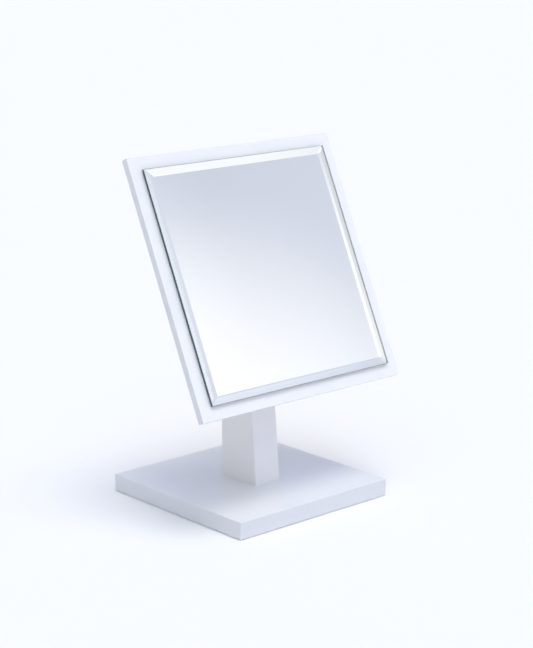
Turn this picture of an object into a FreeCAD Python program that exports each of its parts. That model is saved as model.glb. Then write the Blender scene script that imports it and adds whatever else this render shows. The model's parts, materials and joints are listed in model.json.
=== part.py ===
"""Countertop mirror: a bevelled square mirror on a panel that tilts on a post and a square base.

Frame: +Z up, the mirror faces -Y, +X to the right of a person looking into it.
The origin is the middle of the base at the level of the surface that the feet stand on.
Head parts are drawn flat in the panel's own frame, then placed by tilting that frame.
All sizes in millimetres and degrees.
"""
import FreeCAD, Part
import math
import os

Vector = FreeCAD.Vector

# ---- driving dimensions: stand ----
BASE_SIDE = 200.0
BASE_THICK = 18.0
FOOT_RADIUS = 7.0
FOOT_PROUD = 0.6
FOOT_SUNK = 1.2
FOOT_INSET = 14.0
POST_WIDTH = 33.0
POST_FRONT_Y = -28.4
POST_BACK_Y = 26.0
POST_LEAN = 5.0
PIVOT_Z = 242.1
BOARD_EDGE_RADIUS = 0.6
POST_EDGE_RADIUS = 1.5

# ---- driving dimensions: post fixing, seen from below ----
POST_BOLT_SPACING = 26.0
POST_BOLT_RADIUS = 3.0
POST_BOLT_LENGTH = 28.0
POST_BOLT_STUB = 1.0
POST_BOLT_HEAD_RADIUS = 5.0
POST_BOLT_HEAD_HEIGHT = 6.0
POST_BOLT_KEY = 5.0
POST_BOLT_SUNK = 1.5
POST_WASHER_RADIUS = 6.0
POST_WASHER_THICK = 1.6
POST_INSERT_RADIUS = 4.75
POST_INSERT_LENGTH = 20.0

# ---- driving dimensions: head ----
PANEL_SIDE = 266.0
PANEL_THICK = 8.0
PANEL_FACE_Y = -28.4
PANEL_FACE_Z = 242.5
REST_TILT = 25.1
GLASS_SIDE = 238.5
GLASS_THICK = 4.0
BEVEL_WIDTH = 8.0
BEVEL_DROP = 1.5
BACKING_THICK = 0.2
TAPE_THICK = 0.7
TAPE_WIDTH = 25.0
TAPE_LENGTH = 200.0
TAPE_PITCH = 50.0
TAPE_COUNT = 4

# ---- driving dimensions: hinge ----
BRACKET_THICK = 3.0
BRACKET_FOOT_WIDTH = 32.0
BRACKET_FOOT_LENGTH = 84.0
BRACKET_EAR_RADIUS = 13.0
BRACKET_BEND_RADIUS = 1.5
BRACKET_CORNER_RADIUS = 5.0
RUNNING_GAP = 0.1
FRICTION_WASHER_RADIUS = 12.0
FRICTION_WASHER_THICK = 1.0
PIVOT_RADIUS = 4.0
PIVOT_FIT = 0.05
PIVOT_HEAD_RADIUS = 7.0
PIVOT_HEAD_HEIGHT = 4.4
PIVOT_KEY = 5.0
SLEEVE_RADIUS = 6.0
SPRING_OUTER_RADIUS = 8.0
SPRING_THICK = 0.8
SPRING_CONE = 0.5
PIVOT_WASHER_RADIUS = 8.0
PIVOT_WASHER_THICK = 1.6
NUT_ACROSS_FLATS = 13.0
NUT_HEIGHT = 6.5
NUT_COLLAR_RADIUS = 5.6
NUT_COLLAR_HEIGHT = 1.8
NUT_FACE_SHARE = 0.95
NUT_TURNED_ANGLE = 30.0
BOLT_STUB = 3.0
SOCKET_SHARE = 0.55
THREAD_CORE_SHARE = 0.85
THREAD_CORE_OVERLAP = 1.0

# ---- driving dimensions: bracket screws ----
SCREW_RADIUS = 2.0
SCREW_LENGTH = 16.0
SCREW_HEAD_RADIUS = 4.0
SCREW_HEAD_DEPTH = 2.3
SCREW_KEY = 2.5
SCREW_SPACING = 60.0
SCREW_PLACE_SHARE = 0.55
SMALL_WASHER_RADIUS = 4.5
SMALL_WASHER_THICK = 0.8
SMALL_NUT_ACROSS_FLATS = 7.0
SMALL_NUT_HEIGHT = 3.2
SCREW_STUB = 1.0
CLEARANCE = 0.2
EASE = 0.3
TOLERANCE = 1e-6

# ---- derived levels and places ----
BASE_BOTTOM_Z = FOOT_PROUD
BASE_TOP_Z = BASE_BOTTOM_Z + BASE_THICK
LEAN = math.radians(POST_LEAN)
TILT = math.radians(REST_TILT)
POST_FRONT_AT_PIVOT = POST_FRONT_Y + math.tan(LEAN) * (PIVOT_Z - BASE_TOP_Z)
PIVOT_Y = (POST_BACK_Y + POST_FRONT_AT_PIVOT * math.cos(LEAN)) / (1.0 + math.cos(LEAN))
POST_TOP_RADIUS = POST_BACK_Y - PIVOT_Y
PIVOT = Vector(0.0, PIVOT_Y, PIVOT_Z)
EAR_INNER_X = POST_WIDTH / 2 + RUNNING_GAP + FRICTION_WASHER_THICK
EAR_OUTER_X = EAR_INNER_X + BRACKET_THICK
SCREW_X = EAR_OUTER_X + SCREW_PLACE_SHARE * (BRACKET_FOOT_WIDTH - BRACKET_THICK)

# The panel's frame: u runs up the panel, w runs out of its front face. Its origin is the middle
# of the front face, and the pivot lies behind and above it.
UP = Vector(0.0, math.sin(TILT), math.cos(TILT))
OUT = Vector(0.0, -math.cos(TILT), math.sin(TILT))
PANEL_FACE = Vector(0.0, PANEL_FACE_Y, PANEL_FACE_Z)
PIVOT_U = (PIVOT - PANEL_FACE).dot(UP)
PIVOT_W = (PIVOT - PANEL_FACE).dot(OUT)
PANEL_BACK_W = -PANEL_THICK
BRACKET_BACK_W = PANEL_BACK_W - BRACKET_THICK
GLASS_BACK_W = TAPE_THICK + BACKING_THICK
SCREW_PLACES = [
    (side * SCREW_X, PIVOT_U + end * SCREW_SPACING / 2)
    for side in (-1, 1)
    for end in (-1, 1)
]


def place_head(shape):
    """Turn a shape from the panel's frame (x, u, w as X, Y, Z) into the model's frame."""
    placed = shape.copy()
    placed.rotate(Vector(), Vector(1, 0, 0), 90.0 - REST_TILT)
    placed.translate(PANEL_FACE)
    return placed


def box(x_size, y_size, z_low, z_high):
    """A box centred on X = Y = 0 between two levels."""
    corner = Vector(-x_size / 2, -y_size / 2, z_low)
    return Part.makeBox(x_size, y_size, z_high - z_low, corner)


def eased_board(side, z_low, z_high):
    """A square board with every edge rounded a little, as sanded before lacquering."""
    board = box(side, side, z_low, z_high)
    return board.makeFillet(BOARD_EDGE_RADIUS, board.Edges)


def rod(radius, start, direction, length):
    """A round rod from a start point."""
    return Part.makeCylinder(radius, length, start, direction)


def tube(outer, inner, start, direction, length):
    """A round ring or sleeve."""
    overshoot = direction * EASE
    hole = rod(inner, start - overshoot, direction, length + 2 * EASE)
    return rod(outer, start, direction, length).cut(hole)


def hexagon(across_flats, start, direction, length):
    """A hexagonal prism, one flat square to the first perpendicular of its axis."""
    corner_radius = across_flats / math.sqrt(3.0)
    side_way = Vector(0, 1, 0) if abs(direction.x) > 0.5 else Vector(1, 0, 0)
    other_way = direction.cross(side_way)
    points = []
    for step in range(7):
        angle = math.radians(60.0 * step)
        spoke = side_way * math.cos(angle) + other_way * math.sin(angle)
        points.append(start + spoke * corner_radius)
    return Part.Face(Part.makePolygon(points)).extrude(direction * length)


def eased_nut(across_flats, bore, start, direction, height):
    """A hexagon nut whose corners are turned off at both faces."""
    corner_radius = across_flats / math.sqrt(3.0)
    face_radius = NUT_FACE_SHARE * across_flats / 2
    slope = (corner_radius - face_radius) * math.tan(math.radians(NUT_TURNED_ANGLE))
    middle = rod(corner_radius, start + direction * slope, direction, height - 2 * slope)
    low_cone = Part.makeCone(face_radius, corner_radius, slope, start, direction)
    top = start + direction * (height - slope)
    high_cone = Part.makeCone(corner_radius, face_radius, slope, top, direction)
    turned = middle.fuse([low_cone, high_cone])
    hole = rod(bore, start - direction * EASE, direction, height + 2 * EASE)
    return hexagon(across_flats, start, direction, height).common(turned).cut(hole)


def group(shapes):
    """Separate solids that are written to one file."""
    return Part.makeCompound(shapes)


# ---- stand ----
def base_board():
    """The square base, with four pockets for the feet and two counterbores for the post bolts."""
    board = eased_board(BASE_SIDE, BASE_BOTTOM_Z, BASE_TOP_Z)
    for x_side in (-1, 1):
        for y_side in (-1, 1):
            pocket = Vector(*foot_place(x_side, y_side), BASE_BOTTOM_Z)
            board = board.cut(rod(FOOT_RADIUS + CLEARANCE, pocket, Vector(0, 0, 1), FOOT_SUNK))
    pocket_radius = POST_WASHER_RADIUS + 2 * CLEARANCE
    pocket_depth = POST_BOLT_SUNK + POST_BOLT_HEAD_HEIGHT + POST_WASHER_THICK
    for y in post_bolt_ys():
        start = Vector(0.0, y, BASE_BOTTOM_Z)
        board = board.cut(rod(pocket_radius, start, Vector(0, 0, 1), pocket_depth))
        board = board.cut(rod(POST_BOLT_RADIUS + CLEARANCE, start, Vector(0, 0, 1), BASE_THICK))
    return board


def post_bolt_ys():
    """The two bolt positions, one behind the other under the middle of the post."""
    middle = (POST_FRONT_Y + POST_BACK_Y) / 2
    return [middle - POST_BOLT_SPACING / 2, middle + POST_BOLT_SPACING / 2]


def foot_place(x_side, y_side):
    """Where a foot is, near one corner of the base."""
    reach = BASE_SIDE / 2 - FOOT_INSET
    return x_side * reach, y_side * reach


def foot(x_side, y_side):
    """One round pad, let into the underside of the base and standing a little proud."""
    start = Vector(*foot_place(x_side, y_side), 0.0)
    pad = rod(FOOT_RADIUS, start, Vector(0, 0, 1), FOOT_PROUD + FOOT_SUNK)
    rim = [edge for edge in pad.Edges if edge.BoundBox.ZMax < EASE]
    return pad.makeFillet(EASE, rim)


def post_outline():
    """Side view of the post: upright back, leaning front, top rounded about the pivot."""
    front_normal = Vector(0.0, -math.cos(LEAN), math.sin(LEAN))
    front_tangent = PIVOT + front_normal * POST_TOP_RADIUS
    back_tangent = PIVOT + Vector(0, 1, 0) * POST_TOP_RADIUS
    crown = PIVOT + Vector(0, 0, 1) * POST_TOP_RADIUS
    front_foot = Vector(0.0, POST_FRONT_Y, BASE_TOP_Z)
    back_foot = Vector(0.0, POST_BACK_Y, BASE_TOP_Z)
    edges = [
        Part.makeLine(back_foot, front_foot),
        Part.makeLine(front_foot, front_tangent),
        Part.Arc(front_tangent, crown, back_tangent).toShape(),
        Part.makeLine(back_tangent, back_foot),
    ]
    return Part.Face(Part.Wire(edges))


def post():
    """The post with its side edges eased, the sleeve's bore and the blind holes for the inserts."""
    outline = post_outline()
    outline.translate(Vector(-POST_WIDTH / 2, 0.0, 0.0))
    body = outline.extrude(Vector(POST_WIDTH, 0.0, 0.0))
    side_edges = [
        edge
        for edge in body.Edges
        if edge.BoundBox.XLength < EASE and edge.BoundBox.ZMax > BASE_TOP_Z + EASE
    ]
    body = body.makeFillet(POST_EDGE_RADIUS, side_edges)
    bore_start = Vector(-POST_WIDTH / 2 - EASE, PIVOT_Y, PIVOT_Z)
    body = body.cut(rod(SLEEVE_RADIUS, bore_start, Vector(1, 0, 0), POST_WIDTH + 2 * EASE))
    hole_depth = POST_INSERT_LENGTH + 3 * EASE
    for y in post_bolt_ys():
        start = Vector(0.0, y, BASE_TOP_Z)
        body = body.cut(rod(POST_INSERT_RADIUS, start, Vector(0, 0, 1), hole_depth))
    return body


def shank(start, direction, radius, length, stub):
    """A bolt's shank; its last stretch is the thread's core only, with a chamfered end."""
    core_length = stub + THREAD_CORE_OVERLAP
    core_start = start + direction * (length - core_length)
    core = rod(THREAD_CORE_SHARE * radius, core_start, direction, core_length)
    end_point = start + direction * length
    end_edges = [edge for edge in core.Edges if on_plane(edge, end_point, direction)]
    return rod(radius, start, direction, length - stub).fuse(core.makeChamfer(EASE, end_edges))


def socket_bolt(start, direction, radius, length, stub, head_radius, head_height, key):
    """A cap bolt with a hexagon socket; start is under the head, direction along the shank."""
    head_start = start - direction * head_height
    head = rod(head_radius, head_start, direction, head_height)
    rim = [edge for edge in head.Edges if on_plane(edge, head_start, direction)]
    head = head.makeFillet(EASE, rim)
    head = head.cut(hexagon(key, head_start, direction, SOCKET_SHARE * head_height))
    return head.fuse(shank(start, direction, radius, length, stub))


def on_plane(edge, point, normal):
    """Whether every end and the middle of an edge lie on a plane."""
    samples = [edge.valueAt(edge.FirstParameter), edge.valueAt(edge.LastParameter)]
    samples.append(edge.valueAt((edge.FirstParameter + edge.LastParameter) / 2))
    return all(abs((sample - point).dot(normal)) < TOLERANCE for sample in samples)


def post_bolts():
    """Two bolts that pull the post onto the base from below."""
    head_top = BASE_BOTTOM_Z + POST_BOLT_SUNK + POST_BOLT_HEAD_HEIGHT
    return group([
        socket_bolt(
            Vector(0.0, y, head_top), Vector(0, 0, 1), POST_BOLT_RADIUS, POST_BOLT_LENGTH,
            POST_BOLT_STUB, POST_BOLT_HEAD_RADIUS, POST_BOLT_HEAD_HEIGHT, POST_BOLT_KEY,
        )
        for y in post_bolt_ys()
    ])


def post_washers():
    """Flat washers at the bottom of the counterbores."""
    level = BASE_BOTTOM_Z + POST_BOLT_SUNK + POST_BOLT_HEAD_HEIGHT
    bore = POST_BOLT_RADIUS + CLEARANCE
    return group([
        tube(POST_WASHER_RADIUS, bore, Vector(0.0, y, level), Vector(0, 0, 1), POST_WASHER_THICK)
        for y in post_bolt_ys()
    ])


def post_inserts():
    """Threaded brass inserts in the foot of the post."""
    bore = POST_BOLT_RADIUS + CLEARANCE / 4
    return group([
        tube(
            POST_INSERT_RADIUS, bore, Vector(0.0, y, BASE_TOP_Z), Vector(0, 0, 1),
            POST_INSERT_LENGTH,
        )
        for y in post_bolt_ys()
    ])


def pivot_sleeve():
    """Brass sleeve in the post, flush with both sides."""
    start = Vector(-POST_WIDTH / 2, PIVOT_Y, PIVOT_Z)
    return tube(SLEEVE_RADIUS, PIVOT_RADIUS + PIVOT_FIT, start, Vector(1, 0, 0), POST_WIDTH)


# ---- mirror head, drawn in the panel's frame ----
def screw_cutter(x, u):
    """The hole for one countersunk screw, from the panel's face through bracket and panel."""
    depth = SCREW_HEAD_DEPTH
    sink = Part.makeCone(
        SCREW_RADIUS + CLEARANCE, SCREW_HEAD_RADIUS + CLEARANCE, depth, Vector(x, u, -depth)
    )
    lowest = BRACKET_BACK_W - EASE
    shaft = rod(SCREW_RADIUS + CLEARANCE, Vector(x, u, lowest), Vector(0, 0, 1), EASE - lowest)
    return sink.fuse(shaft)


def mirror_panel():
    """The square back panel, with the bracket screws' countersunk holes under the glass."""
    board = eased_board(PANEL_SIDE, PANEL_BACK_W, 0.0)
    for x, u in SCREW_PLACES:
        board = board.cut(screw_cutter(x, u))
    return place_head(board)


def mirror_glass():
    """The glass plate: a flat middle and a shallow ground bevel down to a square edge."""
    edge_top = GLASS_BACK_W + GLASS_THICK - BEVEL_DROP
    plate = box(GLASS_SIDE, GLASS_SIDE, GLASS_BACK_W, edge_top)
    foot_wire = square_wire(GLASS_SIDE, edge_top)
    face_wire = square_wire(GLASS_SIDE - 2 * BEVEL_WIDTH, edge_top + BEVEL_DROP)
    crown = Part.makeLoft([foot_wire, face_wire], True, True)
    return place_head(plate.fuse(crown).removeSplitter())


def square_wire(side, level):
    """A centred square outline at one level."""
    half = side / 2
    corners = [(-half, -half), (half, -half), (half, half), (-half, half), (-half, -half)]
    return Part.makePolygon([Vector(x, y, level) for x, y in corners])


def silver_backing():
    """Silvering and protective paint on the back of the glass."""
    return place_head(box(GLASS_SIDE, GLASS_SIDE, TAPE_THICK, GLASS_BACK_W))


def mounting_tape():
    """Upright strips of double-sided tape that hold the mirror to the panel."""
    strips = []
    for index in range(TAPE_COUNT):
        x = (index - (TAPE_COUNT - 1) / 2) * TAPE_PITCH
        strip = box(TAPE_WIDTH, TAPE_LENGTH, 0.0, TAPE_THICK)
        strip.translate(Vector(x, 0.0, 0.0))
        strips.append(place_head(strip))
    return group(strips)


def ear_outline():
    """Side view of a bracket: the foot's full length, tapering to a round ear at the pivot."""
    half = BRACKET_FOOT_LENGTH / 2
    foot_w = BRACKET_BACK_W - BRACKET_BEND_RADIUS
    reach = foot_w - PIVOT_W
    radius = BRACKET_EAR_RADIUS
    span = math.hypot(half, reach)
    tangent_angle = math.acos(radius / span) - math.atan2(reach, half)
    tangent_u = radius * math.cos(tangent_angle)
    tangent_w = -radius * math.sin(tangent_angle)
    points = [
        Vector(0.0, -half, PANEL_BACK_W),
        Vector(0.0, -half, foot_w),
        Vector(0.0, -tangent_u, PIVOT_W - tangent_w),
        Vector(0.0, tangent_u, PIVOT_W - tangent_w),
        Vector(0.0, half, foot_w),
        Vector(0.0, half, PANEL_BACK_W),
    ]
    tip = Vector(0.0, 0.0, PIVOT_W - radius)
    edges = [Part.makeLine(points[i], points[i + 1]) for i in (0, 1, 3, 4)]
    edges.append(Part.Arc(points[2], tip, points[3]).toShape())
    edges.append(Part.makeLine(points[5], points[0]))
    return Part.Face(Part.Wire(Part.__sortEdges__(edges)))


def hinge_bracket(side):
    """One angle bracket bent from sheet: a foot on the panel and an ear beside the post."""
    length = BRACKET_FOOT_LENGTH
    ear_depth = PANEL_BACK_W - (PIVOT_W - BRACKET_EAR_RADIUS)
    low = Vector(EAR_INNER_X, -length / 2, PANEL_BACK_W - ear_depth)
    outer = Part.makeBox(BRACKET_FOOT_WIDTH, length, ear_depth, low)
    inside_low = Vector(EAR_OUTER_X, -length / 2, PANEL_BACK_W - ear_depth)
    inside = Part.makeBox(BRACKET_FOOT_WIDTH, length, ear_depth - BRACKET_THICK, inside_low)
    angle = outer.cut(inside)
    angle = round_bend(angle, EAR_INNER_X, PANEL_BACK_W, BRACKET_BEND_RADIUS + BRACKET_THICK)
    angle = round_bend(angle, EAR_OUTER_X, BRACKET_BACK_W, BRACKET_BEND_RADIUS)
    silhouette = ear_outline().extrude(Vector(2 * EAR_OUTER_X + BRACKET_FOOT_WIDTH, 0.0, 0.0))
    angle = angle.common(silhouette)
    corners = [
        edge
        for edge in angle.Edges
        if edge.BoundBox.XMin > EAR_OUTER_X + BRACKET_BEND_RADIUS + EASE
        and edge.BoundBox.ZLength > BRACKET_THICK - EASE
        and edge.BoundBox.YLength < EASE
    ]
    angle = angle.makeFillet(BRACKET_CORNER_RADIUS, corners)
    angle.translate(Vector(0.0, PIVOT_U, 0.0))
    hole_start = Vector(0.0, PIVOT_U, PIVOT_W)
    hole_length = EAR_OUTER_X + BRACKET_FOOT_WIDTH
    angle = angle.cut(rod(PIVOT_RADIUS + PIVOT_FIT, hole_start, Vector(1, 0, 0), hole_length))
    for x, u in SCREW_PLACES:
        angle = angle.cut(screw_cutter(x, u))
    if side < 0:
        angle = angle.mirror(Vector(), Vector(1, 0, 0))
    return place_head(angle)


def round_bend(angle, x, w, radius):
    """Round the long edge at (x, w) of the bent sheet."""
    edges = [
        edge
        for edge in angle.Edges
        if edge.BoundBox.YLength > EASE
        and abs(edge.BoundBox.XMin - x) < EASE
        and abs(edge.BoundBox.XMax - x) < EASE
        and abs(edge.BoundBox.ZMin - w) < EASE
        and abs(edge.BoundBox.ZMax - w) < EASE
    ]
    return angle.makeFillet(radius, edges)


def bracket_screws():
    """Countersunk screws, flush with the panel's face, under the glass."""
    screws = []
    for x, u in SCREW_PLACES:
        head = Part.makeCone(
            SCREW_RADIUS, SCREW_HEAD_RADIUS, SCREW_HEAD_DEPTH, Vector(x, u, -SCREW_HEAD_DEPTH)
        )
        start = Vector(x, u, 0.0)
        inwards = Vector(0, 0, -1)
        body = head.fuse(shank(start, inwards, SCREW_RADIUS, SCREW_LENGTH, SCREW_STUB))
        socket = hexagon(SCREW_KEY, start, inwards, SCREW_HEAD_DEPTH)
        screws.append(place_head(body.cut(socket)))
    return group(screws)


def bracket_washers():
    """Flat washers on the bracket feet."""
    bore = SCREW_RADIUS + CLEARANCE
    return group([
        place_head(tube(
            SMALL_WASHER_RADIUS, bore, Vector(x, u, BRACKET_BACK_W), Vector(0, 0, -1),
            SMALL_WASHER_THICK,
        ))
        for x, u in SCREW_PLACES
    ])


def bracket_nuts():
    """Hexagon nuts that close the bracket screws."""
    level = BRACKET_BACK_W - SMALL_WASHER_THICK
    bore = SCREW_RADIUS + CLEARANCE / 4
    return group([
        place_head(eased_nut(
            SMALL_NUT_ACROSS_FLATS, bore, Vector(x, u, level), Vector(0, 0, -1), SMALL_NUT_HEIGHT,
        ))
        for x, u in SCREW_PLACES
    ])


# ---- pivot stack, drawn in the model's frame along X ----
SPRING_X = EAR_OUTER_X
SPRING_HEIGHT = SPRING_THICK + SPRING_CONE
PIVOT_WASHER_X = SPRING_X + SPRING_HEIGHT
NUT_X = PIVOT_WASHER_X + PIVOT_WASHER_THICK


def pivot_bolt():
    """The bolt that the head turns on, from the left ear to past the lock nut."""
    start = Vector(-EAR_OUTER_X, PIVOT_Y, PIVOT_Z)
    length = NUT_X + NUT_HEIGHT + NUT_COLLAR_HEIGHT + BOLT_STUB + EAR_OUTER_X
    return socket_bolt(
        start, Vector(1, 0, 0), PIVOT_RADIUS, length, BOLT_STUB, PIVOT_HEAD_RADIUS,
        PIVOT_HEAD_HEIGHT, PIVOT_KEY,
    )


def friction_washer(side):
    """A fibre washer between the post and one ear."""
    start = Vector(side * EAR_INNER_X, PIVOT_Y, PIVOT_Z)
    bore = PIVOT_RADIUS + CLEARANCE
    way = Vector(-side, 0, 0)
    return tube(FRICTION_WASHER_RADIUS, bore, start, way, FRICTION_WASHER_THICK)


def disc_spring():
    """A shallow cone washer that keeps the joint pressed together."""
    bore = PIVOT_RADIUS + CLEARANCE
    outer = SPRING_OUTER_RADIUS
    points = [
        Vector(SPRING_X, bore, 0.0),
        Vector(SPRING_X + SPRING_THICK, bore, 0.0),
        Vector(SPRING_X + SPRING_THICK + SPRING_CONE, outer, 0.0),
        Vector(SPRING_X + SPRING_CONE, outer, 0.0),
    ]
    section = Part.Face(Part.makePolygon(points + points[:1]))
    ring = section.revolve(Vector(), Vector(1, 0, 0), 360.0)
    ring.translate(PIVOT)
    return ring


def pivot_washer():
    """Flat washer between the disc spring and the lock nut."""
    start = Vector(PIVOT_WASHER_X, PIVOT_Y, PIVOT_Z)
    bore = PIVOT_RADIUS + CLEARANCE
    return tube(PIVOT_WASHER_RADIUS, bore, start, Vector(1, 0, 0), PIVOT_WASHER_THICK)


def lock_nut():
    """Hexagon nut with a round locking collar."""
    along = Vector(1, 0, 0)
    bore = PIVOT_RADIUS + CLEARANCE / 4
    start = Vector(NUT_X, PIVOT_Y, PIVOT_Z)
    nut = eased_nut(NUT_ACROSS_FLATS, bore, start, along, NUT_HEIGHT)
    collar_start = start + along * NUT_HEIGHT
    collar = rod(NUT_COLLAR_RADIUS, collar_start, along, NUT_COLLAR_HEIGHT)
    end_point = collar_start + along * NUT_COLLAR_HEIGHT
    rim = [edge for edge in collar.Edges if on_plane(edge, end_point, along)]
    collar = collar.makeFillet(2 * EASE, rim)
    hole = rod(bore, collar_start - along * EASE, along, NUT_COLLAR_HEIGHT + 2 * EASE)
    return nut.fuse(collar.cut(hole))


def all_nodes():
    """Every sub-part by its name."""
    nodes = {
        "base_board": base_board(),
        "post": post(),
        "post_bolts": post_bolts(),
        "post_washers": post_washers(),
        "post_inserts": post_inserts(),
        "pivot_sleeve": pivot_sleeve(),
        "mirror_panel": mirror_panel(),
        "mirror_glass": mirror_glass(),
        "silver_backing": silver_backing(),
        "mounting_tape": mounting_tape(),
        "bracket_screws": bracket_screws(),
        "bracket_washers": bracket_washers(),
        "bracket_nuts": bracket_nuts(),
        "pivot_bolt": pivot_bolt(),
        "disc_spring": disc_spring(),
        "pivot_washer": pivot_washer(),
        "lock_nut": lock_nut(),
    }
    for side, word in ((-1, "left"), (1, "right")):
        nodes["hinge_bracket_" + word] = hinge_bracket(side)
        nodes["friction_washer_" + word] = friction_washer(side)
        nodes["foot_front_" + word] = foot(side, -1)
        nodes["foot_rear_" + word] = foot(side, 1)
    return nodes


os.makedirs("parts", exist_ok=True)
for name, shape in all_nodes().items():
    shape.exportStep("parts/" + name + ".step")
    print(name, len(shape.Solids), shape.isValid(), round(shape.Volume, 1))
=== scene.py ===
"""Looks of the countertop mirror: lacquered boards, bevelled glass over silver, plated fasteners.

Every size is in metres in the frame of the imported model; places come from its nodes' boxes.
"""

import json
import math

import bpy
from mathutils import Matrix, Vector


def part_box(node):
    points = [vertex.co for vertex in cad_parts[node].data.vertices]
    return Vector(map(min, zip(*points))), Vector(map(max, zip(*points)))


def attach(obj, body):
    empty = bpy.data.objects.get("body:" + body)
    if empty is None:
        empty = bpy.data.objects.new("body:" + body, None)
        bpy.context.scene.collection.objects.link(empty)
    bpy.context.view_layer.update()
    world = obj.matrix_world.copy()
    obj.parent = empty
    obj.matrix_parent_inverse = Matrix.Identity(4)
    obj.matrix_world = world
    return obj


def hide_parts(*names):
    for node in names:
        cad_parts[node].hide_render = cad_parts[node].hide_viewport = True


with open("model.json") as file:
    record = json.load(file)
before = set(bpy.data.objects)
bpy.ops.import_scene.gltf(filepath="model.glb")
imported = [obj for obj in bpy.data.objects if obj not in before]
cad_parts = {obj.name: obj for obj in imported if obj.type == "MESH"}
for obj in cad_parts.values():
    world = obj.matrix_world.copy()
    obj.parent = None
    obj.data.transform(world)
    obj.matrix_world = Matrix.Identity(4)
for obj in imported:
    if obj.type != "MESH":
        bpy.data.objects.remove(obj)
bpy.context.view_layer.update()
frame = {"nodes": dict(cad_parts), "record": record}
NODES = frame["nodes"]

# ---- camera ----
CAMERA_AZIMUTH = math.radians(-41.86)
CAMERA_ELEVATION = math.radians(13.92)
CAMERA_DISTANCE = 1.8864
CAMERA_AIM = Vector((0.0128, -0.0115, 0.1820))
CAMERA_LENS = 102.66
CAMERA_SENSOR = 36.0
CAMERA_FAR = 100.0

# ---- studio ----
FLOOR_SIZE = 40.0
FLOOR_WHITE = (0.95, 0.95, 0.95)
# Soft lights in the sky of the studio: azimuth, elevation, full within, gone beyond (degrees), colour
SKY_LIGHTS = {
    "right": (120.0, 30.0, 0.0, 60.0, (0.086, 0.136, 0.328)),
    "key": (0.0, 60.0, 0.0, 30.0, (0.445, 0.415, 0.178)),
    "key_low": (0.0, 40.0, 0.0, 28.0, (0.000, 0.000, 0.183)),
    "key_left": (-60.0, 60.0, 0.0, 30.0, (0.730, 0.850, 1.049)),
    "low_front": (0.0, 8.0, 0.0, 30.0, (0.000, 0.000, 0.111)),
    "low_right": (45.0, 5.0, 0.0, 30.0, (0.272, 0.303, 0.371)),
    "glow": (38.0, 19.0, 5.0, 12.0, (0.391, 0.348, 0.288)),
    "patch_side": (65.0, 19.0, 0.0, 15.0, (0.688, 0.681, 0.726)),
    "patch_top": (51.0, 34.0, 0.0, 13.0, (0.085, 0.094, 0.124)),
    "patch_inner": (33.0, 29.0, 0.0, 12.0, (0.293, 0.303, 0.320)),
    "patch_mid": (47.0, 26.0, 0.0, 12.0, (0.096, 0.089, 0.143)),
    "top": (0.0, 90.0, 0.0, 24.0, (0.099, 0.000, 0.000)),
    "key_l": (-30.0, 45.0, 0.0, 24.0, (0.333, 0.597, 1.035)),
    "patch_high": (51.0, 38.0, 0.0, 9.0, (0.346, 0.354, 0.424)),
    "front_high": (0.0, 75.0, 0.0, 20.0, (6.127, 6.063, 5.951)),
    "low_mid": (10.0, 5.0, 0.0, 20.0, (0.000, 0.036, 0.127)),
    "horizon": (0.0, -90.0, 90.0, 102.0, (0.500, 0.500, 0.500)),
}
SKY_BASE = (0.441, 0.446, 0.455)

# ---- finishes ----
LACQUER_WHITE = (0.86, 0.87, 0.885)
LACQUER_SHADE = (0.845, 0.855, 0.872)
# Painted shade: the lacquer on the boards' edges and sides is darkened against their faces.
LACQUER_EDGE_PAINTED_SHADE = (0.855, 0.860, 0.895)
# Painted light whitens the post's lacquer towards its foot, and painted shade greys it towards its
# head.
POST_FOOT_PAINTED_LIGHT = (1.105, 1.085, 1.075)
POST_HEAD_PAINTED_SHADE = (0.925, 0.912, 0.928)
POST_FOOT_LEVEL = 0.018
POST_HEAD_LEVEL = 0.100
WHITE_TINT = (1.0, 1.0, 1.0)
EDGE_ON = 0.3
FACE_ON = 0.8
POWDER_WHITE = (0.80, 0.81, 0.83)
POWDER_SHADE = (0.74, 0.75, 0.78)
GLASS_TINT = (0.992, 0.997, 0.996)
GLASS_DEPTH_COLOUR = (0.35, 0.72, 0.62)
GLASS_DEPTH_DENSITY = 9.0
GLASS_IOR = 1.52
# Arris colours: the glass's own grey-green, darkened to paint a thin dark line of shade along its
# outline.
GROUND_GLASS_AND_SHADE = (0.22, 0.30, 0.30)
GROUND_GLASS_AND_SHADE_LIGHT = (0.34, 0.42, 0.42)
# Colours of the skin on the glass's left and lower sides: painted shade, partly the glass's own
# green.
EDGE_GREEN_AND_SHADE = (0.035, 0.068, 0.072)
EDGE_GREEN_AND_SHADE_LIGHT = (0.055, 0.100, 0.104)
SILVER = (0.95, 0.955, 0.96)
SILVER_DULL = tuple(0.985 * level for level in SILVER)
PAINT_GREY = (0.20, 0.21, 0.22)
PAINT_GREY_DARK = (0.15, 0.16, 0.17)
ZINC = (0.60, 0.61, 0.64)
ZINC_DARK = (0.46, 0.47, 0.50)
BRASS = (0.72, 0.53, 0.22)
BRASS_DARK = (0.52, 0.36, 0.13)
FOAM = (0.055, 0.058, 0.062)
FOAM_LIGHT = (0.085, 0.088, 0.092)
FIBRE = (0.16, 0.045, 0.025)
FIBRE_LIGHT = (0.23, 0.075, 0.045)
RUBBER = (0.030, 0.030, 0.033)
RUBBER_WORN = (0.060, 0.060, 0.063)
MILLIMETRE = 0.001
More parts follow.
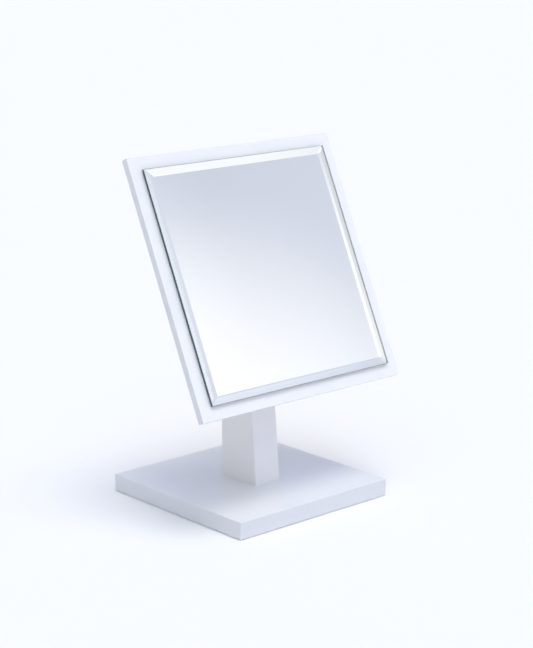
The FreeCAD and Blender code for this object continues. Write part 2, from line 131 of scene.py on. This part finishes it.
# Grain of each finish, sizes in millimetres. Colour: feature size, detail, where dark ends, where
# light starts. Gloss: feature size, detail, lowest and highest roughness. Bump: feature size,
# detail, strength, height.
GRAIN = {
    "lacquer": ((45.0, 3.0, 0.35, 0.65), (20.0, 4.0, 0.26, 0.38), (1.6, 2.0, 0.10, 0.05)),
    "powder coat": ((0.6, 3.0, 0.3, 0.7), (4.0, 3.0, 0.42, 0.56), (0.5, 2.0, 0.35, 0.06)),
    "ground glass and shade": ((0.9, 4.0, 0.3, 0.7), (0.4, 3.0, 0.25, 0.45), (0.3, 3.0, 0.2, 0.01)),
    "glass edge shade": ((0.9, 4.0, 0.3, 0.7), (0.4, 3.0, 0.08, 0.2), (0.3, 3.0, 0.2, 0.01)),
    "backing paint": ((2.0, 4.0, 0.3, 0.7), (3.0, 3.0, 0.45, 0.6), (0.5, 3.0, 0.2, 0.02)),
    "plated steel": ((0.8, 5.0, 0.3, 0.7), (1.5, 4.0, 0.22, 0.42), (0.25, 3.0, 0.15, 0.02)),
    "turned brass": ((1.2, 4.0, 0.3, 0.7), (1.0, 3.0, 0.25, 0.4), (0.3, 2.0, 0.2, 0.02)),
    "foam": ((0.5, 4.0, 0.3, 0.7), (2.0, 3.0, 0.8, 0.95), (0.5, 3.0, 0.4, 0.1)),
    "fibre": ((0.4, 4.0, 0.3, 0.7), (1.6, 3.0, 0.6, 0.8), (0.4, 3.0, 0.4, 0.04)),
    "rubber": ((0.7, 4.0, 0.3, 0.7), (2.8, 3.0, 0.6, 0.8), (0.7, 3.0, 0.4, 0.05)),
}
SILVER_GRAIN = (80.0, 3.0, 0.2, 0.8)
LATHE_MARKS = (6.0, 1.0, 1.0)

# ---- threads on the bolt ends and softened edges, in metres ----
PIVOT_RADIUS = 0.004
PIVOT_STUB = 0.003
PIVOT_THREAD_PITCH = 0.00125
SCREW_RADIUS = 0.002
SCREW_HEAD_RADIUS = 0.004
SCREW_STUB = 0.001
SCREW_THREAD_PITCH = 0.0007
TIP_CHAMFER = 0.0003
THREAD_CORE_SHARE = 0.86
THREAD_CREST_SHARE = 0.99
THREAD_FLANK_SLOPE = 2.4
THREAD_RUN_OUT = 0.5
THREAD_TURN_STEPS = 48
THREAD_PITCH_ROWS = 12
SHEET_EDGE_ROUND = 0.00025
HARDWARE_EDGE_ROUND = 0.00012
SHARP_ANGLE = math.radians(35.0)
WELD_DISTANCE = 0.000001

# ---- mirror glass, in metres ----
PANEL_TILT = math.radians(25.1)
BEVEL_WIDTH = 0.0080
BEVEL_DROP = 0.0015
ARRIS = 0.00025
SILVER_INSET = 0.0006
SILVER_OVERLAP = 0.00001
EDGE_GAP = 0.00002
EDGE_SKIN = 0.00008

# ---- the way the boards face; the panel's own frame is across, up the panel and out of its face ----
BASE_FACE = Vector((0.0, 0.0, 1.0))
ACROSS = Vector((1.0, 0.0, 0.0))
UP = Vector((0.0, math.sin(PANEL_TILT), math.cos(PANEL_TILT)))
OUT = Vector((0.0, -math.cos(PANEL_TILT), math.sin(PANEL_TILT)))


def direction(azimuth, elevation):
    """Unit vector from the object towards a viewer at that azimuth and elevation."""
    level = math.cos(elevation)
    return Vector((math.sin(azimuth) * level, -math.cos(azimuth) * level, math.sin(elevation)))


def add_camera():
    """The camera, at the view that the object is judged from."""
    data = bpy.data.cameras.new("camera")
    data.lens = CAMERA_LENS
    data.sensor_width = CAMERA_SENSOR
    data.clip_end = CAMERA_FAR
    camera = bpy.data.objects.new("camera", data)
    bpy.context.scene.collection.objects.link(camera)
    back = direction(CAMERA_AZIMUTH, CAMERA_ELEVATION)
    camera.location = CAMERA_AIM + back * CAMERA_DISTANCE
    camera.rotation_euler = back.to_track_quat("Z", "Y").to_euler()
    bpy.context.scene.camera = camera


# ---- material helpers ----
class Shader:
    """A material with its Principled node, and short ways to add textures to it."""

    def __init__(self, name):
        self.material = bpy.data.materials.new(name)
        self.material.use_nodes = True
        self.tree = self.material.node_tree
        self.base = self.tree.nodes["Principled BSDF"]
        self.place = self.add("ShaderNodeTexCoord").outputs["Object"]

    def add(self, kind, **settings):
        node = self.tree.nodes.new(kind)
        for name, value in settings.items():
            setattr(node, name, value)
        return node

    def link(self, source, target):
        self.tree.links.new(source, target)

    def set(self, **values):
        """Plain values on the Principled node's sockets; underscores stand for spaces."""
        for name, value in values.items():
            socket = self.base.inputs[name.replace("_", " ")]
            socket.default_value = (*value, 1.0) if isinstance(value, tuple) else value

    def noise(self, size, detail, stretch=None):
        """Noise whose features are about that many millimetres large."""
        texture = self.add("ShaderNodeTexNoise")
        texture.inputs["Scale"].default_value = 1.0 / (size * MILLIMETRE)
        texture.inputs["Detail"].default_value = detail
        place = self.place
        if stretch:
            mapping = self.add("ShaderNodeMapping")
            mapping.inputs["Scale"].default_value = stretch
            self.link(place, mapping.inputs["Vector"])
            place = mapping.outputs["Vector"]
        self.link(place, texture.inputs["Vector"])
        return texture.outputs["Fac"]

    def ramp(self, source, low, high, low_colour, high_colour):
        """Base colour between two colours as the source goes from low to high."""
        node = self.add("ShaderNodeValToRGB")
        node.color_ramp.elements[0].position = low
        node.color_ramp.elements[0].color = (*low_colour, 1.0)
        node.color_ramp.elements[1].position = high
        node.color_ramp.elements[1].color = (*high_colour, 1.0)
        self.link(source, node.inputs["Fac"])
        self.link(node.outputs["Color"], self.base.inputs["Base Color"])

    def paint_shading(self, source, low, high, low_shading, high_shading):
        """Base colour times a factor of painted light and shade that changes as the source goes from
        low to high.
        """
        share = self.add("ShaderNodeMapRange")
        share.inputs["From Min"].default_value = low
        share.inputs["From Max"].default_value = high
        self.link(source, share.inputs["Value"])
        change = self.add("ShaderNodeVectorMath", operation="MULTIPLY_ADD")
        self.link(share.outputs["Result"], change.inputs[0])
        change.inputs[1].default_value = Vector(high_shading) - Vector(low_shading)
        change.inputs[2].default_value = low_shading
        tinted = self.add("ShaderNodeVectorMath", operation="MULTIPLY")
        self.link(self.base.inputs["Base Color"].links[0].from_socket, tinted.inputs[0])
        self.link(change.outputs["Vector"], tinted.inputs[1])
        self.link(tinted.outputs["Vector"], self.base.inputs["Base Color"])

    def facing(self, face):
        """How nearly the surface looks along a direction or against it, from 0 to 1."""
        normal = self.add("ShaderNodeTexCoord").outputs["Normal"]
        along = self.add("ShaderNodeVectorMath", operation="DOT_PRODUCT")
        along.inputs[1].default_value = face
        self.link(normal, along.inputs[0])
        size = self.add("ShaderNodeMath", operation="ABSOLUTE")
        self.link(along.outputs["Value"], size.inputs[0])
        return size.outputs["Value"]

    def height(self):
        """Height over the counter, in metres."""
        split = self.add("ShaderNodeSeparateXYZ")
        self.link(self.place, split.inputs["Vector"])
        return split.outputs["Z"]

    def roughness(self, source, low, high):
        """Roughness between two values."""
        node = self.add("ShaderNodeMapRange")
        node.inputs["To Min"].default_value = low
        node.inputs["To Max"].default_value = high
        self.link(source, node.inputs["Value"])
        self.link(node.outputs["Result"], self.base.inputs["Roughness"])

    def bump(self, source, strength, height):
        """Bump from a source."""
        node = self.add("ShaderNodeBump")
        node.inputs["Strength"].default_value = strength
        node.inputs["Distance"].default_value = height
        self.link(source, node.inputs["Height"])
        self.link(node.outputs["Normal"], self.base.inputs["Normal"])

    def grain(self, finish, dark, light, stretch=None):
        """The finish's uneven colour, gloss and bump."""
        colour, gloss, bump = GRAIN[finish]
        self.ramp(self.noise(*colour[:2]), *colour[2:], dark, light)
        self.roughness(self.noise(*gloss[:2]), *gloss[2:])
        strength, height = bump[2:]
        self.bump(self.noise(*bump[:2], stretch), strength, height * MILLIMETRE)


def lacquer(name):
    """Sprayed satin lacquer on fibreboard: a faint orange peel and barely uneven white."""
    shader = Shader(name)
    shader.set(Specular_IOR_Level=0.5, Coat_Weight=0.25, Coat_Roughness=0.12)
    shader.grain("lacquer", LACQUER_SHADE, LACQUER_WHITE)
    return shader


def board_lacquer(name, face):
    """Lacquer on a board, with painted shade that darkens its edges and sides against its faces."""
    shader = lacquer(name)
    # painted shade on the board's edges and sides, by how far they turn from its face
    shader.paint_shading(shader.facing(face), EDGE_ON, FACE_ON, LACQUER_EDGE_PAINTED_SHADE, WHITE_TINT)
    return shader.material


def post_lacquer():
    """Lacquer on the post, with painted light towards its foot and painted shade towards its head,
    where the panel shades it.
    """
    shader = lacquer("post lacquer")
    # painted light at the post's foot and painted shade at its head, multiplied into the base colour
    levels = (POST_FOOT_LEVEL, POST_HEAD_LEVEL)
    shader.paint_shading(shader.height(), *levels, POST_FOOT_PAINTED_LIGHT, POST_HEAD_PAINTED_SHADE)
    return shader.material


def plain_finish(name, finish, dark, light, metallic=0.0, stretch=None):
    """A finish that is all grain: paint, plate, brass, foam, pressed fibre or rubber."""
    shader = Shader(name)
    shader.set(Metallic=metallic)
    shader.grain(finish, dark, light, stretch)
    return shader.material


def clear_glass():
    """Float glass, almost colourless through its face and green through its depth."""
    shader = Shader("float glass")
    shader.set(Base_Color=GLASS_TINT, Transmission_Weight=1.0, IOR=GLASS_IOR, Roughness=0.0)
    depth = shader.add("ShaderNodeVolumeAbsorption")
    depth.inputs["Color"].default_value = (*GLASS_DEPTH_COLOUR, 1.0)
    depth.inputs["Density"].default_value = GLASS_DEPTH_DENSITY
    output = shader.tree.nodes["Material Output"]
    shader.link(depth.outputs["Volume"], output.inputs["Volume"])
    return shader.material


def silvering():
    """Silver seen through the glass, with a trace of unevenness."""
    shader = Shader("silvering")
    shader.set(Metallic=1.0, Roughness=0.0)
    shader.ramp(shader.noise(*SILVER_GRAIN[:2]), *SILVER_GRAIN[2:], SILVER_DULL, SILVER)
    return shader.material


def worked_glass(finish, dark, light):
    """Worked glass, grey-green and faintly marked: the seamed arrises, darkened past their own
    grey-green to paint a thin line of shade along the outline, and the painted shade of the side
    skins.
    """
    shader = Shader(finish)
    shader.set(Specular_IOR_Level=0.5, IOR=GLASS_IOR)
    shader.grain(finish, dark, light)
    return shader.material


def finish_nodes():
    """Give every node of the model its finish, and return the finishes by slot."""
    by_slot = {
        "white_lacquer": post_lacquer(),
        "powder_coat": plain_finish("white powder coat", "powder coat", POWDER_SHADE, POWDER_WHITE),
        "clear_glass": clear_glass(),
        "silvering": silvering(),
        "zinc_steel": plain_finish("zinc plated steel", "plated steel", ZINC_DARK, ZINC, 1.0),
        "brass": plain_finish("turned brass", "turned brass", BRASS_DARK, BRASS, 1.0, LATHE_MARKS),
        "foam_tape": plain_finish("foam tape", "foam", FOAM, FOAM_LIGHT),
        "washer_fibre": plain_finish("pressed fibre", "fibre", FIBRE, FIBRE_LIGHT),
        "foot_rubber": plain_finish("foot rubber", "rubber", RUBBER, RUBBER_WORN),
    }
    for subpart in frame["record"]["subparts"]:
        NODES[subpart["node"]].material_slots[0].material = by_slot[subpart["material_slot"]]
    NODES["base_board"].material_slots[0].material = board_lacquer("base lacquer", BASE_FACE)
    NODES["mirror_panel"].material_slots[0].material = board_lacquer("panel lacquer", OUT)
    return by_slot


# ---- the mirror ----
def span(node, axis):
    """Lowest and highest coordinate of a node along an axis."""
    values = [vertex.co.dot(axis) for vertex in NODES[node].data.vertices]
    return min(values), max(values)


def ring(xs, us, w):
    """Four corners of a rectangle in the panel's frame, at a height along w."""
    places = [(xs[0], us[0]), (xs[1], us[0]), (xs[1], us[1]), (xs[0], us[1])]
    return [ACROSS * x + UP * u + OUT * w for x, u in places]


def square_ring(node, inset, w):
    """Four corners of a node's square outline, drawn in by an inset, at a height along w."""
    x_low, x_high = span(node, ACROSS)
    u_low, u_high = span(node, UP)
    return ring((x_low + inset, x_high - inset), (u_low + inset, u_high - inset), w)


def ringed_piece(name, rings, materials, numbers):
    """A solid through four-cornered rings, closed by a face on each end ring.

    The material numbers are those of the bands in turn, then of the first and the last face.
    """
    mesh = bpy.data.meshes.new(name)
    points = [corner for outline in rings for corner in outline]
    faces = []
    indices = []
    count = len(rings)
    for band in range(count - 1):
        above = band + 1
        for side in range(4):
            after = (side + 1) % 4
            faces.append((4 * band + side, 4 * band + after, 4 * above + after, 4 * above + side))
            indices.append(numbers[band])
    faces.append((3, 2, 1, 0))
    indices.append(numbers[-2])
    top = 4 * (count - 1)
    faces.append((top, top + 1, top + 2, top + 3))
    indices.append(numbers[-1])
    mesh.from_pydata(points, [], faces)
    for material in materials:
        mesh.materials.append(material)
    for polygon, index in zip(mesh.polygons, indices):
        polygon.material_index = index
    mesh.validate()
    piece = bpy.data.objects.new(name, mesh)
    bpy.context.scene.collection.objects.link(piece)
    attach(piece, "head")
    return piece


def add_mirror_plate(clear, ground):
    """The glass: flat face, ground and polished bevel, seamed arrises, square polished edge."""
    back, front = span("mirror_glass", OUT)
    edge = front - BEVEL_DROP
    bevel_slope = BEVEL_DROP / BEVEL_WIDTH
    rings = [
        square_ring("mirror_glass", ARRIS, back),
        square_ring("mirror_glass", 0.0, back + ARRIS),
        square_ring("mirror_glass", 0.0, edge - ARRIS),
        square_ring("mirror_glass", ARRIS, edge + ARRIS * bevel_slope),
        square_ring("mirror_glass", BEVEL_WIDTH, front),
    ]
    plate = ringed_piece("mirror_plate", rings, [clear, ground], [1, 0, 1, 0, 0, 0])
    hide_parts("mirror_glass")


def add_glass_edge_shade(edge_shade_finish):
    """Painted shade along the glass's side, with the green of its depth: a dark skin on the left and
    lower sides only, the two turned towards the camera.
    """
    back, front = span("mirror_glass", OUT)
    low = back + ARRIS
    high = front - BEVEL_DROP - ARRIS
    x_low, x_high = span("mirror_glass", ACROSS)
    u_low, u_high = span("mirror_glass", UP)
    beside = (x_low - EDGE_GAP - EDGE_SKIN, x_low - EDGE_GAP)
    below = (u_low - EDGE_GAP - EDGE_SKIN, u_low - EDGE_GAP)
    # dark green skins over the left and lower sides: painted shade, partly the glass's own green
    strips = {
        "glass_edge_shade_left": (beside, (u_low, u_high)),
        "glass_edge_shade_below": ((x_low, x_high), below),
    }
    for name, (xs, us) in strips.items():
        rings = [ring(xs, us, low), ring(xs, us, high)]
        skin = ringed_piece(name, rings, [edge_shade_finish], [0, 0, 0])


def add_silver_film(silver, paint):
    """Silver on the back of the glass with its paint behind, held back from the arrises."""
    back = span("silver_backing", OUT)[0]
    front = span("mirror_glass", OUT)[0] + SILVER_OVERLAP
    rings = [
        square_ring("silver_backing", SILVER_INSET, back),
        square_ring("silver_backing", SILVER_INSET, front),
    ]
    film = ringed_piece("silver_film", rings, [silver, paint], [1, 1, 0])
    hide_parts("silver_backing")


# ---- threads, where a bolt comes out of its nut ----
def thread_height(share):
    """Height over the core, from 0 to 1, at a share of the pitch: flank, narrow crest, flank."""
    rise = min(1.0, THREAD_FLANK_SLOPE * share, THREAD_FLANK_SLOPE * (1.0 - share))
    return rise * rise * (3.0 - 2.0 * rise)


def add_thread(name, end, along, radius, pitch, length, metal):
    """A helical thread round a bolt's core up to its end; the thread runs out there."""
    side = along.orthogonal().normalized()
    other = along.cross(side)
    rows = round(THREAD_PITCH_ROWS * length / pitch)
    points = []
    for row in range(rows + 1):
        travel = length * row / rows
        run_out = min(1.0, (length - travel) / (THREAD_RUN_OUT * pitch))
        for step in range(THREAD_TURN_STEPS):
            turn = step / THREAD_TURN_STEPS
            height = thread_height((travel / pitch + turn) % 1.0) * run_out
            share = THREAD_CORE_SHARE + (THREAD_CREST_SHARE - THREAD_CORE_SHARE) * height
            angle = 2.0 * math.pi * turn
            spoke = side * math.cos(angle) + other * math.sin(angle)
            points.append(end - along * (length - travel) + spoke * (radius * share))
    faces = []
    for low in range(0, rows * THREAD_TURN_STEPS, THREAD_TURN_STEPS):
        for step in range(THREAD_TURN_STEPS):
            after = (step + 1) % THREAD_TURN_STEPS
            above = low + THREAD_TURN_STEPS
            faces.append((low + step, low + after, above + after, above + step))
    last = rows * THREAD_TURN_STEPS
    faces.append(tuple(reversed(range(THREAD_TURN_STEPS))))
    faces.append(tuple(range(last, last + THREAD_TURN_STEPS)))
    mesh = bpy.data.meshes.new(name)
    mesh.from_pydata(points, [], faces)
    mesh.materials.append(metal)
    for polygon in mesh.polygons:
        polygon.use_smooth = len(polygon.vertices) == 4
    piece = bpy.data.objects.new(name, mesh)
    bpy.context.scene.collection.objects.link(piece)
    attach(piece, "head")


def add_threads(metal):
    """Threads on the end of the pivot bolt and on the ends of the four bracket screws."""
    low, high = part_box("pivot_bolt")
    middle = (low + high) / 2
    end = Vector((high.x - TIP_CHAMFER, middle.y, middle.z))
    length = PIVOT_STUB - TIP_CHAMFER
    add_thread("pivot_thread", end, ACROSS, PIVOT_RADIUS, PIVOT_THREAD_PITCH, length, metal)
    tip = span("bracket_screws", OUT)[0] + TIP_CHAMFER
    length = SCREW_STUB - TIP_CHAMFER
    corners = square_ring("bracket_screws", SCREW_HEAD_RADIUS, tip)
    for number, end in enumerate(corners, start=1):
        name = "screw_thread_" + str(number)
        add_thread(name, end, -OUT, SCREW_RADIUS, SCREW_THREAD_PITCH, length, metal)


def soften_edges(node, width):
    """Round a node's sharp edges a little, as tumbling or coating leaves them."""
    weld = NODES[node].modifiers.new("weld", "WELD")
    weld.merge_threshold = WELD_DISTANCE
    edges = NODES[node].modifiers.new("edge round", "BEVEL")
    edges.width = width
    edges.segments = 2
    edges.limit_method = "ANGLE"
    edges.angle_limit = SHARP_ANGLE
    edges.harden_normals = True


def soften_hardware():
    """Soften the sheet brackets and the washers."""
    for node in ("hinge_bracket_left", "hinge_bracket_right"):
        soften_edges(node, SHEET_EDGE_ROUND)
    for node in ("pivot_washer", "bracket_washers", "post_washers"):
        soften_edges(node, HARDWARE_EDGE_ROUND)


# ---- studio ----
def add_floor():
    """A plain white floor."""
    half = FLOOR_SIZE / 2
    mesh = bpy.data.meshes.new("floor")
    corners = [(-half, -half, 0), (half, -half, 0), (half, half, 0), (-half, half, 0)]
    mesh.from_pydata(corners, [], [(0, 1, 2, 3)])
    floor = bpy.data.objects.new("floor", mesh)
    bpy.context.scene.collection.objects.link(floor)
    shader = Shader("studio floor")
    shader.set(Base_Color=FLOOR_WHITE, Roughness=0.9, Specular_IOR_Level=0.0)
    mesh.materials.append(shader.material)


def add_sky():
    """A dim surround with soft lights in it, each a round glow that fades towards its rim."""
    world = bpy.data.worlds.new("studio")
    world.use_nodes = True
    tree = world.node_tree
    towards = tree.nodes.new("ShaderNodeTexCoord").outputs["Generated"]
    total = tree.nodes.new("ShaderNodeVectorMath")
    total.name = "sky base"
    total.inputs[0].default_value = SKY_BASE
    for name, (azimuth, elevation, full, gone, colour) in SKY_LIGHTS.items():
        centre = direction(math.radians(azimuth), math.radians(elevation))
        nearness = tree.nodes.new("ShaderNodeVectorMath")
        nearness.operation = "DOT_PRODUCT"
        nearness.inputs[1].default_value = centre
        tree.links.new(towards, nearness.inputs[0])
        fade = tree.nodes.new("ShaderNodeMapRange")
        fade.interpolation_type = "SMOOTHSTEP"
        fade.inputs["From Min"].default_value = math.cos(math.radians(gone))
        fade.inputs["From Max"].default_value = math.cos(math.radians(full))
        tree.links.new(nearness.outputs["Value"], fade.inputs["Value"])
        glow = tree.nodes.new("ShaderNodeVectorMath")
        glow.operation = "SCALE"
        glow.name = "glow " + name
        glow.inputs[0].default_value = colour
        tree.links.new(fade.outputs["Result"], glow.inputs["Scale"])
        added = tree.nodes.new("ShaderNodeVectorMath")
        tree.links.new(total.outputs["Vector"], added.inputs[0])
        tree.links.new(glow.outputs["Vector"], added.inputs[1])
        total = added
    tree.links.new(total.outputs["Vector"], tree.nodes["Background"].inputs["Color"])
    bpy.context.scene.world = world
    bpy.context.scene.view_settings.view_transform = "Standard"


add_camera()
add_floor()
add_sky()
finishes = finish_nodes()
seamed = worked_glass("ground glass and shade", GROUND_GLASS_AND_SHADE, GROUND_GLASS_AND_SHADE_LIGHT)
add_mirror_plate(finishes["clear_glass"], seamed)
add_glass_edge_shade(worked_glass("glass edge shade", EDGE_GREEN_AND_SHADE, EDGE_GREEN_AND_SHADE_LIGHT))
backing = plain_finish("backing paint", "backing paint", PAINT_GREY_DARK, PAINT_GREY)
add_silver_film(finishes["silvering"], backing)
add_threads(finishes["zinc_steel"])
soften_hardware()
